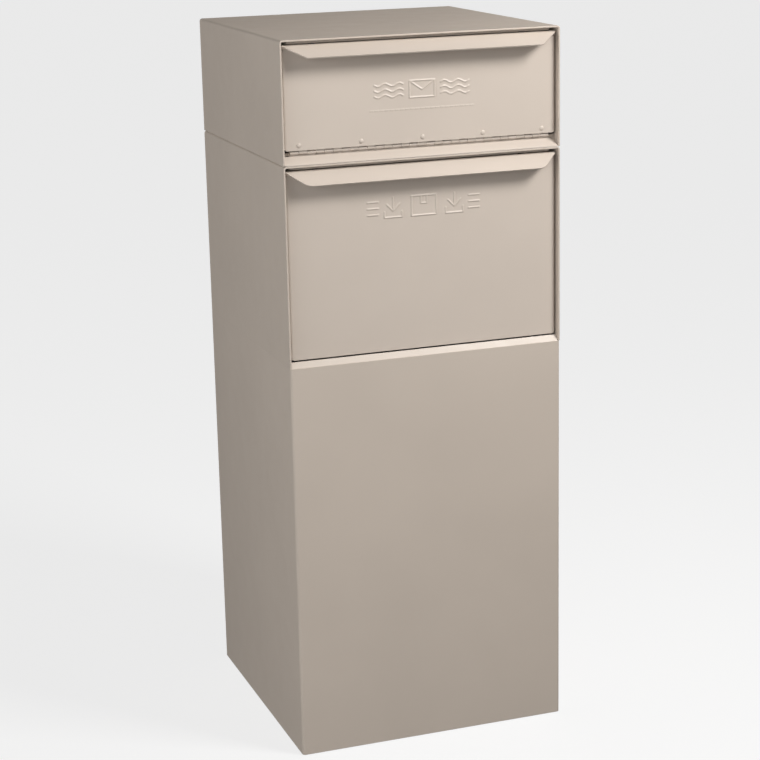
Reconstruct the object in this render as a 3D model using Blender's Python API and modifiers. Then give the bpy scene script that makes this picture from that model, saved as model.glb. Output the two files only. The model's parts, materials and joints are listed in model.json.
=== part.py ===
"""Free-standing steel vault: a letter box on top of a parcel cabinet with a drop hopper.

Metres, +Z up. The vault faces -Y, +X is to its right, and the origin is under the
middle of its bounding box, on the ground. Depths are counted back from the front plane.
"""
from math import cos, radians, sin, sqrt

import bmesh
import bpy
from mathutils import Matrix, Vector

# ---- casing
WIDTH = 0.4125
DEPTH = 0.415
HEIGHT = 1.041
SHEET = 0.0025
BEND = 0.003
GAP = 0.0003                 # kept between pieces that touch
BASE_TOP = 0.5855
CABINET_TOP = 0.8700         # top of the parcel box, where the letter box sits
SEAM = 0.0006                # shadow line between the two boxes
HALF = WIDTH / 2
WALL = HALF - SHEET          # inner face of the side walls
INSIDE = WALL - GAP          # half-width of a piece that fits between the walls
LETTER_BOTTOM = CABINET_TOP + SEAM
CABINET_CEILING = CABINET_TOP - SHEET
LETTER_CEILING = HEIGHT - SHEET

# ---- the two front doors
FACE = 0.008                 # depth of the door faces behind the front plane
DOOR_SHEET = 0.002
DOOR_HALF = 0.2025
DOOR_FLANGE = 0.014
DOOR_BACK = FACE + DOOR_SHEET
LIP_LENGTH = 0.0308
LIP_ROOT = 0.0014            # how far a lip's root runs into the face's sheet
LETTER_DOOR_BOTTOM = 0.890
LETTER_FOLD = 1.0343
LETTER_LIP_ANGLE = radians(32)
LETTER_LIP_HALF = 0.173
PARCEL_DOOR_BOTTOM = 0.5956
PARCEL_FOLD = 0.8635
PARCEL_LIP_ANGLE = radians(39)
PARCEL_LIP_HALF = 0.1755

# ---- piano hinges
BARREL = 0.0026
PIN = 0.0012
BORE = 0.0015
LEAF = 0.0012
LETTER_HINGE_LENGTH = 0.386
LETTER_KNUCKLES = 7
LETTER_LEAF_WIDTH = 0.020
LETTER_HINGE = Vector((0, DOOR_BACK + GAP + BARREL, 0.8866))
REAR_HINGE_LENGTH = 0.850
REAR_KNUCKLES = 9
REAR_LEAF_WIDTH = 0.018
REAR_HINGE = Vector((WALL - GAP - BARREL, DEPTH, 0.435))

# ---- sills
PARCEL_SILL_DEPTH = 0.0066
PARCEL_SILL_RISE = 0.0080
PARCEL_SILL_SHEET = 0.002
LETTER_SILL_DEPTH = LETTER_HINGE.y + BARREL - LEAF - GAP
LETTER_SILL_RISE = 0.0102

# ---- hopper behind the parcel door
HOPPER_PIVOT = Vector((0, 0.017, 0.6015))
ROD = 0.0025
CHEEK_RADIUS = 0.248
CHEEK_X = 0.1965
CHUTE_ANGLE = radians(115)
CHUTE_LENGTH = 0.230
CHUTE_START = Vector((0, 0.0112, 0.611))
INNER_SHEET = 0.002          # of the cheeks, chute, baffle and header strips
CHEEK_FOOT = 0.008           # how far the cheeks reach below the chute and the pivot
BAFFLE_DEPTH = 0.200
BAFFLE_BOTTOM = 0.745
BAFFLE_HALF = 0.1945
BRACKET_FACE = 0.1981        # inner face of the pivot brackets
NOTCH_TOP = 0.622            # the parcel door's side flanges start above the brackets

# ---- what the front doors close against
HEADER_DEPTH = 0.024
LETTER_HEADER_BOTTOM = 1.022
PARCEL_HEADER_BOTTOM = 0.8535
HEADER_HALF = 0.194
BUMPER = 0.005
BUMPER_X = 0.155
BUMPER_HEIGHTS = {"letter": 1.029, "parcel": 0.858}
MAGNET_HALF = 0.020
MAGNET_BOTTOM, MAGNET_TOP = 1.0235, 1.0330
STRIKE_HALF = 0.018
STRIKE_BOTTOM, STRIKE_TOP = 1.018, 1.030
STRIKE_SHEET = 0.0012

# ---- rear door and its lock
FRAME_DEPTH = 0.391
FRAME_STRIP = 0.0247
REAR_FACE = 0.413
REAR_FLANGE = 0.017
REAR_BOTTOM, REAR_TOP = 0.006, 0.863
STIFFENER_HALF = 0.020
STIFFENER_REACH = 0.012
STIFFENER_BOTTOM, STIFFENER_TOP = 0.120, 0.750
LOCK = Vector((-0.163, REAR_FACE, 0.470))
LOCK_BARREL = 0.0095         # radius of the part that goes through the door
LOCK_COLLAR = 0.0120
LOCK_BORE = 0.0063
LOCK_PLUG = 0.0060
LOCK_TAIL = 0.0030
LOCK_PROUD = 0.0030
LOCK_LENGTH = 0.0222         # the cam then turns just in front of the door frame
LOCK_NUT, LOCK_NUT_HEIGHT = 0.0140, 0.005
KEYWAY = (0.0008, 0.0036)    # half-width and half-height
CAM_LENGTH = 0.032
CAM_HALF = 0.007
CAM_SHEET = 0.002

# ---- letter drop and fixings
SLOT_HALF = 0.150
SLOT_START, SLOT_END = 0.330, 0.385
BOLT_PLACES = [(x, d) for d in (0.060, 0.300) for x in (-0.150, 0.150)]
BOLT = 0.004
BOLT_LENGTH = 0.016
NUT, NUT_HEIGHT = 0.0075, 0.0065
ANCHOR_PLACES = [(x, d) for d in (0.070, 0.345) for x in (-0.150, 0.150)]
ANCHOR_HOLE = 0.0065
FLOOR = 0.003
RIVET_PITCH = 0.0905
RIVET_HEIGHT = 0.897
RIVET = 0.0016
RIVETS = 5

LETTER_FLOOR = CABINET_TOP + GAP              # underside of the letter box floor
LETTER_FLOOR_TOP = LETTER_FLOOR + SHEET
RISER_FRONT = LETTER_HINGE.y + BARREL + GAP
LIP_REACH = LIP_LENGTH * cos(LETTER_LIP_ANGLE) - FACE
REAR_REACH = REAR_HINGE.y + BARREL
FRONT_Y = (LIP_REACH - REAR_REACH) / 2        # world Y of the front plane

COLOURS = {                  # base colour, roughness, metallic
    "casing_paint": ((0.55, 0.47, 0.39), 0.45, 0.0),
    "door_paint": ((0.58, 0.50, 0.41), 0.42, 0.0),
    "inner_paint": ((0.50, 0.43, 0.36), 0.50, 0.0),
    "zinc": ((0.55, 0.56, 0.57), 0.35, 1.0),
    "stainless": ((0.62, 0.61, 0.59), 0.28, 1.0),
    "lock_chrome": ((0.70, 0.70, 0.71), 0.12, 1.0),
    "rubber": ((0.03, 0.03, 0.03), 0.80, 0.0),
    "magnet": ((0.12, 0.12, 0.12), 0.55, 0.0),
}


def clear_scene():
    for old in list(bpy.data.objects):
        bpy.data.objects.remove(old)


def collection(name):
    made = bpy.data.collections.new(name)
    bpy.context.scene.collection.children.link(made)
    return made


def paint(name, slot):
    colour, roughness, metallic = COLOURS[slot]
    made = bpy.data.materials.new(name)
    made.use_nodes = True
    shader = made.node_tree.nodes["Principled BSDF"]
    shader.inputs["Base Color"].default_value = (*colour, 1)
    shader.inputs["Roughness"].default_value = roughness
    shader.inputs["Metallic"].default_value = metallic
    return made


def world(place):
    """A place given as x, depth and height, in world coordinates."""
    return Vector((place[0], FRONT_Y + place[1], place[2]))


def empty(name, place):
    """The parent of a moving group, on its joint's axis."""
    made = bpy.data.objects.new(name, None)
    made.location = world(place)
    PARTS.objects.link(made)
    return made


def add(name, mesh, place, slot, group=None):
    """Link a mesh as a sub-part at a place, under its moving group if it has one."""
    made = bpy.data.objects.new(name, mesh)
    PARTS.objects.link(made)
    made.parent = group
    made.location = world(place) - (group.location if group else Vector())
    if slot:
        mesh.materials.append(paint(name, slot))
    return made


def tool_on(owner, name, mesh, spot=(0, 0, 0)):
    """A cutter, or a piece to be joined, placed in its owner's own axes."""
    made = bpy.data.objects.new(name, mesh)
    PARTS.objects.link(made)
    made.parent = owner
    made.location = spot
    return made


def as_mesh(name, work):
    mesh = bpy.data.meshes.new(name)
    bmesh.ops.recalc_face_normals(work, faces=work.faces)
    work.to_mesh(mesh)
    work.free()
    return mesh


def box_mesh(name, size):
    work = bmesh.new()
    bmesh.ops.create_cube(work, size=1)
    bmesh.ops.scale(work, vec=size, verts=work.verts)
    return as_mesh(name, work)


def box(name, x, d, z, slot, group=None):
    """A flat plate or block between two x values, two depths and two heights."""
    low, high = Vector((x[0], d[0], z[0])), Vector((x[1], d[1], z[1]))
    return add(name, box_mesh(name, high - low), (low + high) / 2, slot, group)


def rod_mesh(name, radius, length, axis, segments=16):
    work = bmesh.new()
    bmesh.ops.create_cone(work, cap_ends=True, segments=segments, radius1=radius,
                          radius2=radius, depth=length)
    turn = {"X": Matrix.Rotation(radians(90), 3, "Y"), "Y": Matrix.Rotation(radians(90), 3, "X"),
            "Z": Matrix.Identity(3)}[axis]
    bmesh.ops.rotate(work, matrix=turn, verts=work.verts)
    mesh = as_mesh(name, work)
    mesh.shade_smooth()
    mesh.set_sharp_from_angle(angle=radians(40))
    return mesh


def turned(name, profile, place, slot, group=None, axis="Z", steps=16):
    """A solid of revolution: profile is (radius, height), from the top down."""
    mesh = bpy.data.meshes.new(name)
    closed = profile[0] == profile[-1]
    points = [(r, 0, h) for r, h in (profile[:-1] if closed else profile)]
    edges = [(i, i + 1) for i in range(len(points) - 1)]
    if closed:
        edges.append((len(points) - 1, 0))
    mesh.from_pydata(points, edges, [])
    made = add(name, mesh, place, slot, group)
    screw = made.modifiers.new("turn", "SCREW")
    screw.steps = screw.render_steps = steps
    screw.use_merge_vertices = True
    screw.merge_threshold = 0.00002
    screw.use_smooth_shade = True
    if axis == "Y":          # the profile's top points forward, towards -Y
        made.rotation_euler = (radians(90), 0, 0)
    elif axis == "-Y":
        made.rotation_euler = (radians(-90), 0, 0)
    return made


def guide(made):
    """Keep a cutter, or a piece that is joined into another, out of the model."""
    PARTS.objects.unlink(made)
    CUTTERS.objects.link(made)
    made.hide_render = True
    made.display_type = "WIRE"
    return made


def boolean(target, tool, operation):
    step = target.modifiers.new(operation.lower(), "BOOLEAN")
    step.operation = operation
    step.object = tool
    step.solver = "EXACT"


def cut(target, tool):
    boolean(target, guide(tool), "DIFFERENCE")


def join(target, tool):
    boolean(target, guide(tool), "UNION")


def drill(target, name, place, radius, length, axis):
    cut(target, add(name, rod_mesh(name, radius, length, axis), place, None))


def bent_sheet(name, corners, sweep, thickness, radius, place, slot, group=None):
    """Sheet folded along a line of corners: an open strip, rounded folds, then thickness.

    The line is the outer face. The sheet lies to its left, seen with the sweep towards the eye.
    """
    work = bmesh.new()
    verts = [work.verts.new(corner) for corner in corners]
    edges = [work.edges.new(pair) for pair in zip(verts, verts[1:])]
    made = bmesh.ops.extrude_edge_only(work, edges=edges)["geom"]
    moved = [item for item in made if isinstance(item, bmesh.types.BMVert)]
    bmesh.ops.translate(work, vec=sweep, verts=moved)
    mesh = bpy.data.meshes.new(name)
    work.to_mesh(mesh)
    work.free()
    sheet = add(name, mesh, place, slot, group)
    fold = sheet.modifiers.new("folds", "BEVEL")
    fold.width = radius
    fold.segments = 3
    fold.limit_method = "ANGLE"
    thick = sheet.modifiers.new("sheet", "SOLIDIFY")
    thick.thickness = thickness
    thick.offset = 1
    thick.use_even_offset = True
    return sheet


def slanted_plate(name, front, back, half_front, half_back, thickness, place, slot, group=None):
    """A plate between a front and a back line in the depth-height plane.

    front and back are (depth, height) on its upper face; its sides may taper.
    """
    along = Vector((back[0] - front[0], back[1] - front[1])).normalized()
    under = Vector((along.y, -along.x)) * thickness
    work = bmesh.new()
    bmesh.ops.create_cube(work, size=2)
    for vert in work.verts:
        side, end, top = vert.co
        line, half = (back, half_back) if end > 0 else (front, half_front)
        shift = Vector((0, 0)) if top > 0 else under
        vert.co = (side * half, line[0] + shift.x, line[1] + shift.y)
    return add(name, as_mesh(name, work), place, slot, group)


def casing():
    """Three sheet shells, one on the other, and the plates that close them."""
    base = bent_sheet(
        "base_shell",
        [(-HALF, DEPTH, 0), (-HALF, 0, 0), (HALF, 0, 0), (HALF, DEPTH, 0)],
        (0, 0, BASE_TOP), SHEET, BEND, (0, 0, 0), "casing_paint")
    sill = slanted_plate(
        "sill_fold", (0.0006, BASE_TOP - 0.0004),
        (PARCEL_SILL_DEPTH, BASE_TOP + PARCEL_SILL_RISE), INSIDE, INSIDE, PARCEL_SILL_SHEET,
        (0, 0, 0), None)
    join(base, sill)
    floor = box("base_floor", (-INSIDE, INSIDE), (SHEET + GAP, FRAME_DEPTH + 0.020),
                (0, FLOOR), "zinc")
    for i, (x, d) in enumerate(ANCHOR_PLACES):
        drill(floor, f"anchor_hole_{i}", (x, d, 0), ANCHOR_HOLE, 0.02, "Z")
    for name, low, top in (("parcel_box_shell", BASE_TOP + GAP, CABINET_TOP),
                           ("letter_box_shell", LETTER_BOTTOM, HEIGHT)):
        shell = bent_sheet(
            name, [(-HALF, 0, low), (-HALF, 0, top), (HALF, 0, top), (HALF, 0, low)],
            (0, DEPTH, 0), SHEET, BEND, (0, 0, 0), "casing_paint")
        if top == CABINET_TOP:
            letter_slot(shell, "parcel_box_slot", top)
            for i, (x, d) in enumerate(BOLT_PLACES):
                drill(shell, f"top_hole_{i}", (x, d, top), BOLT + GAP, 0.02, "Z")


def letter_slot(target, name, height):
    cut(target, box(name, (-SLOT_HALF, SLOT_HALF), (SLOT_START, SLOT_END),
                    (height - 0.02, height + 0.02), None))


def letter_box():
    """Floor with its drop slot, back, front sill and the riser that carries the hinge."""
    floor = box("letter_box_floor", (-INSIDE, INSIDE), (RISER_FRONT, DEPTH - SHEET - 0.0008),
                (LETTER_FLOOR, LETTER_FLOOR_TOP), "inner_paint")
    letter_slot(floor, "letter_box_slot", LETTER_FLOOR)
    for i, (x, d) in enumerate(BOLT_PLACES):
        drill(floor, f"floor_hole_{i}", (x, d, LETTER_FLOOR), BOLT + GAP, 0.02, "Z")
    box("letter_box_back", (-INSIDE, INSIDE), (DEPTH - SHEET - 0.0005, DEPTH - 0.0005),
        (LETTER_FLOOR, LETTER_CEILING - GAP), "casing_paint")
    box("letter_hinge_riser", (-INSIDE, INSIDE), (RISER_FRONT, RISER_FRONT + SHEET),
        (LETTER_FLOOR_TOP + GAP, LETTER_HINGE.z), "inner_paint")
    letter_sill()


def letter_sill():
    """A slanted strip below the letter door, trimmed level with the floor and the hinge."""
    front = LETTER_FLOOR + 0.0012
    sill = slanted_plate("letter_sill", (0.0002, front),
                         (LETTER_SILL_DEPTH, front + LETTER_SILL_RISE),
                         INSIDE, INSIDE, SHEET, (0, 0, 0), "door_paint")
    cut(sill, box("sill_under", (-WIDTH, WIDTH), (-0.02, 0.03),
                  (LETTER_FLOOR - 0.02, LETTER_FLOOR), None))
    cut(sill, box("sill_back", (-WIDTH, WIDTH), (LETTER_SILL_DEPTH, 0.03),
                  (LETTER_FLOOR - 0.01, LETTER_FLOOR + 0.02), None))


def inner_strips():
    """Header strips above both front openings, and the baffle that guards the bin."""
    depth = (HEADER_DEPTH, HEADER_DEPTH + INNER_SHEET)
    box("letter_header", (-HEADER_HALF, HEADER_HALF), depth,
        (LETTER_HEADER_BOTTOM, LETTER_CEILING - GAP), "inner_paint")
    box("parcel_header", (-HEADER_HALF, HEADER_HALF), depth,
        (PARCEL_HEADER_BOTTOM, CABINET_CEILING - GAP), "inner_paint")
    box("hopper_baffle", (-BAFFLE_HALF, BAFFLE_HALF), (BAFFLE_DEPTH, BAFFLE_DEPTH + INNER_SHEET),
        (BAFFLE_BOTTOM, CABINET_CEILING - GAP), "inner_paint")


def joining_bolts():
    """Domed bolts and hexagon nuts through the letter box floor and the parcel box top."""
    nut_top = CABINET_CEILING - GAP
    for i, (x, d) in enumerate(BOLT_PLACES, 1):
        turned(f"joining_bolt_{i}",
               [(0, 0.0040), (0.0045, 0.0035), (0.0078, 0.0018), (0.0086, 0),
                (BOLT, 0), (BOLT, -BOLT_LENGTH), (0, -BOLT_LENGTH)],
               (x, d, LETTER_FLOOR_TOP + GAP), "stainless")
        nut = add(f"joining_nut_{i}", rod_mesh("nut", NUT, NUT_HEIGHT, "Z", 6),
                  (x, d, nut_top - NUT_HEIGHT / 2), "stainless")
        drill(nut, f"nut_hole_{i}", (x, d, nut_top), BOLT + GAP, 0.04, "Z")


def hinge_leaf(name, place, turn, length, knuckles, first, width, slot, group=None):
    """One leaf of a piano hinge, which keeps every second knuckle, starting with first.

    In its own axes the barrel runs along X on the origin, and the leaf stands up (+Z),
    level with the barrel's front. It is turned and put in place as a whole.
    """
    work = bmesh.new()
    bmesh.ops.create_cube(work, size=1)
    bmesh.ops.scale(work, vec=(length, LEAF, width), verts=work.verts)
    bmesh.ops.translate(work, vec=(0, -BARREL + LEAF / 2, width / 2), verts=work.verts)
    leaf = add(name, as_mesh(name, work), place, slot, group)
    leaf.rotation_euler = turn
    join(leaf, tool_on(leaf, name + "_barrel", rod_mesh(name, BARREL, length, "X")))
    cut(leaf, tool_on(leaf, name + "_bore", rod_mesh(name, BORE, length + 0.01, "X", 12)))
    pitch = length / knuckles
    for i in range(1 - first, knuckles, 2):
        block = box_mesh(name, (pitch + 2 * GAP, 2 * BARREL + 0.002, 2 * BARREL + 0.0016))
        cut(leaf, tool_on(leaf, f"{name}_gap_{i}", block, ((i + 0.5) * pitch - length / 2, 0, 0)))
    return leaf


def letter_hinge_fixed():
    hinge_leaf("letter_hinge_fixed_leaf", LETTER_HINGE, (radians(180), 0, 0),
               LETTER_HINGE_LENGTH, LETTER_KNUCKLES, 0, LETTER_HINGE.z - LETTER_FLOOR_TOP - GAP,
               "door_paint")
    add("letter_hinge_pin", rod_mesh("pin", PIN, LETTER_HINGE_LENGTH, "X", 12), LETTER_HINGE,
        "stainless")


def door_panel(name, bottom, fold, angle, lip_half, group, pivot):
    """A door pan: face, two side flanges, and the lip flared out of its top edge."""
    front = FACE - pivot.y
    back = front + DOOR_FLANGE
    low = bottom - pivot.z
    corners = [(-DOOR_HALF, back, low), (-DOOR_HALF, front, low),
               (DOOR_HALF, front, low), (DOOR_HALF, back, low)]
    panel = bent_sheet(name, corners, (0, 0, fold - bottom), DOOR_SHEET, BEND, pivot,
                       "door_paint", group)
    slope = Vector((cos(angle), sin(angle)))
    corner = Vector((FACE, fold))
    join(panel, slanted_plate(
        name + "_lip", corner - LIP_LENGTH * slope, corner + LIP_ROOT * slope,
        lip_half, DOOR_HALF - BEND, DOOR_SHEET, (0, 0, 0), None))
    return panel


def letter_door():
    group = empty("letter_door_pivot", LETTER_HINGE)
    panel = door_panel("letter_door_panel", LETTER_DOOR_BOTTOM, LETTER_FOLD, LETTER_LIP_ANGLE,
                       LETTER_LIP_HALF, group, LETTER_HINGE)
    leaf = hinge_leaf("letter_hinge_moving_leaf", LETTER_HINGE, (0, 0, 0), LETTER_HINGE_LENGTH,
                      LETTER_KNUCKLES, 1, LETTER_LEAF_WIDTH, "door_paint", group)
    tail = FACE - (LETTER_HINGE.y - BARREL + LEAF + GAP)
    for i in range(RIVETS):
        place = ((i - (RIVETS - 1) / 2) * RIVET_PITCH, FACE, RIVET_HEIGHT)
        drill(panel, f"panel_rivet_hole_{i}", place, RIVET + GAP, 0.03, "Y")
        drill(leaf, f"leaf_rivet_hole_{i}", place, RIVET + GAP, 0.03, "Y")
        turned(f"letter_rivet_{i + 1}",
               [(0, 0.0015), (0.0020, 0.0012), (0.0034, GAP), (RIVET, GAP), (RIVET, tail),
                (0.0028, tail), (0.0028, tail - 0.001), (0, tail - 0.001)],
               place, "door_paint", group, "Y", 14)
    box("letter_catch_strike", (-STRIKE_HALF, STRIKE_HALF),
        (DOOR_BACK + GAP, DOOR_BACK + GAP + STRIKE_SHEET), (STRIKE_BOTTOM, STRIKE_TOP), "zinc",
        group)


def front_stops():
    """Rubber bumpers and the magnet that the doors close against."""
    strip = HEADER_DEPTH - GAP
    length = strip - DOOR_BACK - GAP
    for door, height in BUMPER_HEIGHTS.items():
        for side, x in (("left", -BUMPER_X), ("right", BUMPER_X)):
            turned(f"{door}_bumper_{side}",
                   [(0, length), (0.0034, length), (BUMPER, length - 0.0016), (BUMPER, 0), (0, 0)],
                   (x, strip, height), "rubber", None, "Y")
    box("letter_magnet", (-MAGNET_HALF, MAGNET_HALF),
        (DOOR_BACK + 3 * GAP + STRIKE_SHEET, strip), (MAGNET_BOTTOM, MAGNET_TOP), "magnet")


def hopper_brackets():
    """Small blocks on the side walls that the hopper's rod turns in."""
    for side, sign in (("left", -1), ("right", 1)):
        x = sorted((sign * BRACKET_FACE, sign * INSIDE))
        bracket = box(f"hopper_bracket_{side}", x, (0.012, 0.032), (0.597, 0.610), "zinc")
        drill(bracket, f"bracket_hole_{side}", (sign * BRACKET_FACE, *HOPPER_PIVOT.yz), ROD + GAP,
              0.04, "X")


def chute_line():
    """The two ends of the chute's upper face, as depth and height."""
    slope = Vector((sin(CHUTE_ANGLE), cos(CHUTE_ANGLE)))
    start = CHUTE_START.yz
    return start, start + CHUTE_LENGTH * slope


def cheek_outline():
    """Corners of a cheek, as depth and height from the pivot."""
    front = DOOR_BACK + GAP - HOPPER_PIVOT.y
    points = [Vector((front, -CHEEK_FOOT / 2)),
              Vector((front, sqrt(CHEEK_RADIUS ** 2 - front ** 2)))]
    points += [CHEEK_RADIUS * Vector((sin(radians(a)), cos(radians(a)))) for a in range(6, 61, 6)]
    tip = chute_line()[1] - HOPPER_PIVOT.yz
    points += [tip + Vector((CHEEK_FOOT / 2, CHEEK_FOOT)), tip - Vector((0, CHEEK_FOOT)),
               Vector((CHEEK_FOOT, -CHEEK_FOOT))]
    return points


def outline_plate(name, points, thickness, place, slot, group):
    """A flat plate across X whose outline is given as depth and height."""
    curve = bpy.data.curves.new(name, "CURVE")
    curve.dimensions = "2D"
    curve.fill_mode = "BOTH"
    curve.extrude = thickness / 2
    spline = curve.splines.new("POLY")
    spline.points.add(len(points) - 1)
    for point, (d, z) in zip(spline.points, points):
        point.co = (d, z, 0, 1)
    spline.use_cyclic_u = True
    flat = bpy.data.objects.new(name, curve)
    PARTS.objects.link(flat)
    shape = flat.evaluated_get(bpy.context.evaluated_depsgraph_get())
    mesh = bpy.data.meshes.new_from_object(shape)
    bpy.data.objects.remove(flat)
    work = bmesh.new()
    work.from_mesh(mesh)
    bmesh.ops.remove_doubles(work, verts=work.verts, dist=0.00005)
    turn = Matrix(((0, 0, 1), (1, 0, 0), (0, 1, 0)))
    bmesh.ops.transform(work, matrix=turn.to_4x4(), verts=work.verts)
    mesh.materials.clear()
    plate = as_mesh(name, work)
    return add(name, plate, place, slot, group)


def hopper():
    """The parcel door and the scoop behind it, all turning on one rod."""
    group = empty("hopper_pivot", HOPPER_PIVOT)
    panel = door_panel("parcel_door_panel", PARCEL_DOOR_BOTTOM, PARCEL_FOLD, PARCEL_LIP_ANGLE,
                       PARCEL_LIP_HALF, group, HOPPER_PIVOT)
    cut(panel, box("flange_notch", (-WIDTH, WIDTH), (DOOR_BACK + GAP / 2, 0.04),
                   (BASE_TOP, NOTCH_TOP), None))
    for side, sign in (("left", -1), ("right", 1)):
        place = (sign * CHEEK_X, HOPPER_PIVOT.y, HOPPER_PIVOT.z)
        cheek = outline_plate(f"hopper_cheek_{side}", cheek_outline(), INNER_SHEET, place,
                              "inner_paint", group)
        drill(cheek, f"cheek_hole_{side}", place, ROD + GAP, 0.02, "X")
    half = CHEEK_X - INNER_SHEET / 2 - GAP
    slanted_plate("hopper_chute", *chute_line(), half, half, INNER_SHEET, (0, 0, 0),
                  "inner_paint", group)
    add("hopper_rod", rod_mesh("rod", ROD, 2 * (INSIDE - GAP), "X"), HOPPER_PIVOT, "stainless",
        group)


def rear_frame():
    """Strips that the rear door closes on, welded inside the shells."""
    depth = (FRAME_DEPTH, FRAME_DEPTH + SHEET)
    low, high = FLOOR + GAP, CABINET_CEILING - GAP
    inner = INSIDE - FRAME_STRIP
    box("rear_jamb_left", (-INSIDE, -inner), depth, (low, high), "inner_paint")
    box("rear_jamb_right", (inner, INSIDE), depth, (low, high), "inner_paint")
    across = (-inner + GAP, inner - GAP)
    box("rear_frame_header", across, depth, (high - FRAME_STRIP, high), "inner_paint")
    box("rear_frame_foot", across, depth, (low, low + FRAME_STRIP), "inner_paint")


def rear_hinge_fixed():
    hinge_leaf("rear_hinge_fixed_leaf", REAR_HINGE, (radians(90), radians(-90), 0),
               REAR_HINGE_LENGTH, REAR_KNUCKLES, 0, REAR_LEAF_WIDTH, "casing_paint")
    add("rear_hinge_pin", rod_mesh("pin", PIN, REAR_HINGE_LENGTH, "Z", 12), REAR_HINGE, "stainless")


def rear_door():
    """A pan with a stiffening channel and its own leaf of the long hinge."""
    group = empty("rear_door_pivot", REAR_HINGE)
    left, right = -DOOR_HALF, REAR_HINGE.x - BARREL - GAP
    inner = REAR_FACE - REAR_FLANGE
    panel = rear_sheet(
        "rear_door_panel", [(right, inner), (right, REAR_FACE), (left, REAR_FACE), (left, inner)],
        REAR_BOTTOM, REAR_TOP, "casing_paint", group)
    drill(panel, "lock_hole", LOCK, LOCK_BARREL + GAP, 0.03, "Y")
    web = REAR_FACE - DOOR_SHEET - GAP
    edge = web - STIFFENER_REACH
    rear_sheet("rear_door_stiffener",
               [(STIFFENER_HALF, edge), (STIFFENER_HALF, web), (-STIFFENER_HALF, web),
                (-STIFFENER_HALF, edge)],
               STIFFENER_BOTTOM, STIFFENER_TOP, "inner_paint", group)
    hinge_leaf("rear_hinge_moving_leaf", REAR_HINGE, (radians(90), radians(90), 0),
               REAR_HINGE_LENGTH, REAR_KNUCKLES, 1, REAR_LEAF_WIDTH, "casing_paint", group)
    return group


def rear_sheet(name, corners, low, high, slot, group):
    """Upright sheet of the rear door, folded along corners given as x and depth."""
    line = [(x - REAR_HINGE.x, d - REAR_HINGE.y, low - REAR_HINGE.z) for x, d in corners]
    return bent_sheet(name, line, (0, 0, high - low), DOOR_SHEET, BEND, REAR_HINGE, slot, group)


def lock(door_group):
    """A cam lock: its body and nut are fixed in the rear door, its plug and cam turn."""
    turned("lock_body",
           [(LOCK_BORE, LOCK_PROUD), (LOCK_COLLAR - 0.0015, LOCK_PROUD), (LOCK_COLLAR, 0.0018),
            (LOCK_COLLAR, GAP), (LOCK_BARREL, GAP), (LOCK_BARREL, -LOCK_LENGTH),
            (LOCK_BORE, -LOCK_LENGTH), (LOCK_BORE, LOCK_PROUD)],
           LOCK, "lock_chrome", door_group, "-Y", 20)
    nut_middle = LOCK.y - DOOR_SHEET - GAP - LOCK_NUT_HEIGHT / 2
    nut = add("lock_nut", rod_mesh("lock_nut", LOCK_NUT, LOCK_NUT_HEIGHT, "Y", 6),
              (LOCK.x, nut_middle, LOCK.z), "zinc", door_group)
    drill(nut, "lock_nut_hole", LOCK, LOCK_BARREL + GAP, 0.06, "Y")
    group = empty("lock_pivot", LOCK)
    group.parent = door_group
    group.location -= door_group.location
    for piece in lock_plug_and_cam():
        piece.parent = group
        piece.location -= world(LOCK)


def lock_plug_and_cam():
    """The pieces that the key turns. The cam hangs down when the lock is open."""
    shoulder = -LOCK_LENGTH - 0.0005
    tail = shoulder - CAM_SHEET - 0.0008
    plug = turned("lock_plug",
                  [(0, 0.0032), (0.0050, 0.0032), (LOCK_PLUG, 0.0024), (LOCK_PLUG, shoulder),
                   (LOCK_TAIL, shoulder), (LOCK_TAIL, tail), (0, tail)],
                  LOCK, "lock_chrome", None, "-Y", 20)
    cut(plug, box("keyway", (LOCK.x - KEYWAY[0], LOCK.x + KEYWAY[0]),
                  (LOCK.y - 0.004, LOCK.y + 0.01), (LOCK.z - KEYWAY[1], LOCK.z + KEYWAY[1]), None))
    cam_back = LOCK.y + shoulder - GAP
    cam = box("lock_cam", (LOCK.x - CAM_HALF, LOCK.x + CAM_HALF), (cam_back - CAM_SHEET, cam_back),
              (LOCK.z - CAM_LENGTH, LOCK.z + CAM_HALF), "zinc")
    drill(cam, "cam_hole", LOCK, LOCK_TAIL + GAP, 0.08, "Y")
    screw = turned("lock_cam_screw", [(0, 0.0022), (0.0045, 0.0018), (0.0045, 0), (0, 0)],
                   (LOCK.x, LOCK.y + tail - GAP, LOCK.z), "zinc", None, "Y")
    return plug, cam, screw


def main():
    casing()
    letter_box()
    inner_strips()
    joining_bolts()
    letter_hinge_fixed()
    letter_door()
    front_stops()
    hopper_brackets()
    hopper()
    rear_frame()
    rear_hinge_fixed()
    lock(rear_door())


clear_scene()
PARTS = collection("mail_parcel_vault")
CUTTERS = collection("cutters")
main()
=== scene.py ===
"""Looks of the letter and parcel vault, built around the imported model.

Metres, +Z up, front towards -Y. The shells, doors, sills and hinges are rebuilt with folds,
raw edges and pressed marks. Flat inner plates keep their CAD shape and get softened edges.
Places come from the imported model's nodes and joints wherever it has them.
"""
import json
from math import atan2, ceil, copysign, cos, pi, radians, sin, sqrt, tan

import bmesh
import bpy
from mathutils import Matrix, Vector


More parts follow.
